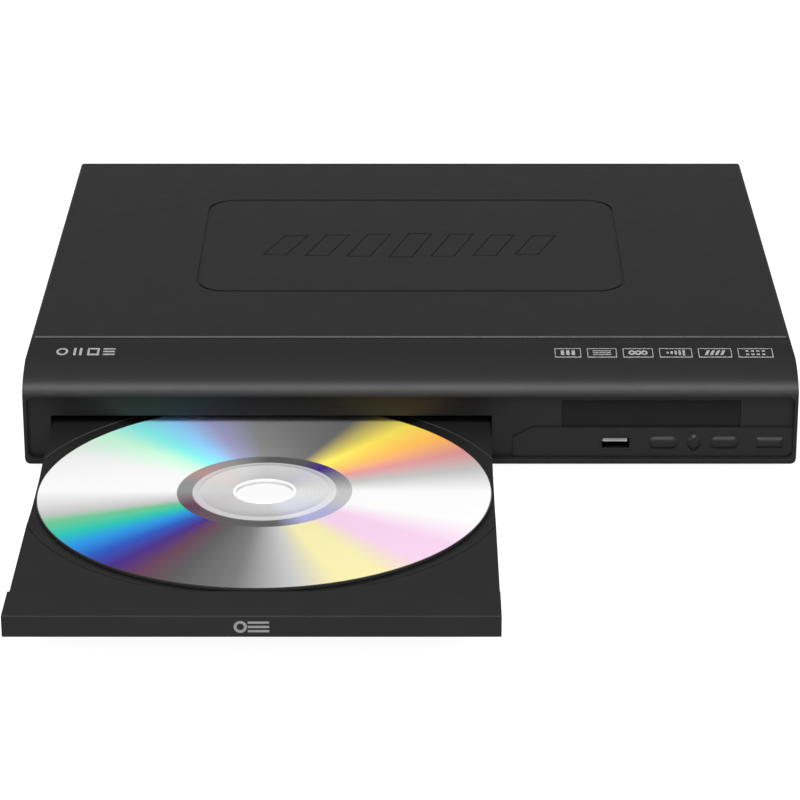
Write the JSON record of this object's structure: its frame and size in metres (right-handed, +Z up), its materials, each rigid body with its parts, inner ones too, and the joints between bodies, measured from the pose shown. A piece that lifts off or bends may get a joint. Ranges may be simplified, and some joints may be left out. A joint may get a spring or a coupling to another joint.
{
  "type": "disc player",
  "caption": "Slim black disc player with its tray out, a disc on the tray, a rounded brow, display window, push buttons and rear jacks; tray, disc, sled and buttons move.",
  "frame": {"origin": "middle of the whole length and width, on the plane the feet stand on, with the tray out", "axes": "+X to the right of the front, +Y from the front to the back, +Z up"},
  "size_m": [0.214, 0.3156, 0.0312],
  "materials": {
    "cover_black": "fine-grained satin black paint on steel sheet",
    "bezel_black": "satin black moulded ABS with a soft sheen",
    "tray_black": "fine-textured black moulded plastic",
    "window_smoke": "smoked, polished acrylic",
    "button_black": "satin black plastic caps",
    "disc_face": "polycarbonate over an aluminium layer with diffraction colours",
    "zinc_steel": "zinc-plated steel sheet",
    "bright_steel": "ground bright steel",
    "dark_plastic": "black moulded plastic",
    "frame_plastic": "glass-filled black plastic",
    "acetal_white": "unfilled acetal, slightly waxy",
    "rubber_black": "soft black rubber",
    "board_green": "green solder mask over copper traces",
    "board_tan": "paper-phenolic board",
    "chip_black": "epoxy chip body",
    "capacitor_sleeve": "shrink sleeve with bare aluminium tops",
    "aluminium_fins": "extruded aluminium",
    "transformer_yellow": "ferrite core with yellow tape",
    "ribbon_white": "flat cable with white film",
    "wire_red": "PVC-insulated wire",
    "gold_plate": "gold-coloured plating",
    "insert_plastic": "coloured moulded insulators",
    "port_light": "light plastic tongue",
    "segment_grey": "unlit light-grey display bars",
    "lens_blue": "coated aspheric lens",
    "pickup_grey": "die-cast pickup housing",
    "magnet_grey": "nickel-plated ring magnet"
  },
  "bodies": {
    "player": {"base_pan": "zinc_steel", "board_posts": "zinc_steel", "top_cover": "cover_black", "rear_panel": "zinc_steel", "front_bezel": "bezel_black", "rubber_feet": "rubber_black", "cover_screws": "dark_plastic", "display_window": "window_smoke", "display_module": "dark_plastic", "display_segments": "segment_grey", "front_board": "board_green", "tact_switches": "chip_black", "remote_receiver": "window_smoke", "data_port": "bright_steel", "data_port_tongue": "port_light", "loader_frame": "frame_plastic", "clamper_bridge": "zinc_steel", "drive_belt": "rubber_black", "loading_motor": "bright_steel", "limit_switch": "chip_black", "main_board": "board_green", "decoder_chip": "chip_black", "chip_heatsink": "aluminium_fins", "board_capacitors": "capacitor_sleeve", "ribbon_cable": "ribbon_white", "power_board": "board_tan", "transformer": "transformer_yellow", "filter_capacitors": "capacitor_sleeve", "power_heatsink": "aluminium_fins", "wire_harness": "wire_red", "jack_board": "board_green", "jack_housing": "dark_plastic", "jack_sleeves": "gold_plate", "jack_inserts": "insert_plastic", "video_port": "bright_steel", "mains_inlet": "dark_plastic", "inlet_pins": "bright_steel", "inner_screws": "zinc_steel"},
    "tray": {"tray": "tray_black", "tray_front": "tray_black"},
    "disc": {"disc": "disc_face"},
    "pinion": {"drive_pinion": "acetal_white"},
    "pulley": {"pulley_gear": "acetal_white"},
    "motor_pulley": {"motor_pulley": "acetal_white"},
    "deck": {"sled_deck": "frame_plastic", "guide_rods": "bright_steel", "spindle_motor": "bright_steel", "sled_motor": "bright_steel"},
    "turntable": {"turntable": "dark_plastic", "turntable_mat": "rubber_black"},
    "pickup": {"optical_pickup": "pickup_grey", "pickup_lens": "lens_blue"},
    "lead_screw": {"lead_screw": "bright_steel"},
    "cam_slider": {"cam_slider": "acetal_white"},
    "puck": {"clamp_puck": "acetal_white", "puck_magnet": "magnet_grey"},
    "open_button": {"open_button": "button_black"},
    "play_button": {"play_button": "button_black"},
    "stop_button": {"stop_button": "button_black"},
    "power_button": {"power_button": "button_black"}
  },
  "joints": [
    {"name": "tray_slide", "type": "slide", "parent": "player", "child": "tray", "axis": [0, 1, 0], "range_m": [0, 0.1269]},
    {"name": "disc_spin", "type": "hinge", "parent": "tray", "child": "disc", "pos_m": [-0.0385, -0.07805, 0.01395], "axis": [0, 0, 1], "continuous": true},
    {"name": "pinion_spin", "type": "hinge", "parent": "player", "child": "pinion", "pos_m": [0.0172, -0.01265, 0.00858], "axis": [1, 0, 0], "continuous": true},
    {"name": "pulley_spin", "type": "hinge", "parent": "player", "child": "pulley", "pos_m": [0.0244, -0.00869, 0.01423], "axis": [1, 0, 0], "continuous": true},
    {"name": "motor_spin", "type": "hinge", "parent": "player", "child": "motor_pulley", "pos_m": [0.0244, 0.02331, 0.01423], "axis": [1, 0, 0], "continuous": true},
    {"name": "deck_tilt", "type": "hinge", "parent": "player", "child": "deck", "pos_m": [-0.0385, 0.11735, 0.0094], "axis": [-1, 0, 0], "range_deg": [0, 2.93]},
    {"name": "spindle_spin", "type": "hinge", "parent": "deck", "child": "turntable", "pos_m": [-0.0385, 0.04892, 0.0062], "axis": [0, -0.0511, 0.9987], "continuous": true},
    {"name": "pickup_slide", "type": "slide", "parent": "deck", "child": "pickup", "axis": [0, 0.9987, 0.0511], "range_m": [0, 0.034]},
    {"name": "screw_spin", "type": "hinge", "parent": "deck", "child": "lead_screw", "pos_m": [-0.0105, 0.07898, 0.00593], "axis": [0, 0.9987, 0.0511], "continuous": true},
    {"name": "cam_slide", "type": "slide", "parent": "player", "child": "cam_slider", "axis": [1, 0, 0], "range_m": [0, 0.02]},
    {"name": "puck_spin", "type": "hinge", "parent": "player", "child": "puck", "pos_m": [-0.0385, 0.04885, 0.0195], "axis": [0, 0, 1], "continuous": true},
    {"name": "open_button_press", "type": "slide", "parent": "player", "child": "open_button", "axis": [0, 1, 0], "range_m": [0, 0.0006], "stiffness_N_per_m": 600},
    {"name": "play_button_press", "type": "slide", "parent": "player", "child": "play_button", "axis": [0, 1, 0], "range_m": [0, 0.0006], "stiffness_N_per_m": 600},
    {"name": "stop_button_press", "type": "slide", "parent": "player", "child": "stop_button", "axis": [0, 1, 0], "range_m": [0, 0.0006], "stiffness_N_per_m": 600},
    {"name": "power_button_press", "type": "slide", "parent": "player", "child": "power_button", "axis": [0, 1, 0], "range_m": [0, 0.0006], "stiffness_N_per_m": 600}
  ],
  "couplings": [
    {"joint": "pinion_spin", "follows": "tray_slide", "rad_per_m": -277.78},
    {"joint": "pulley_spin", "follows": "tray_slide", "rad_per_m": 361.11},
    {"joint": "motor_spin", "follows": "tray_slide", "rad_per_m": 1108.2},
    {"joint": "screw_spin", "follows": "pickup_slide", "rad_per_m": 2094.4},
    {"joint": "cam_slide", "follows": "deck_tilt", "m_per_rad": 0.39126}
  ]
}
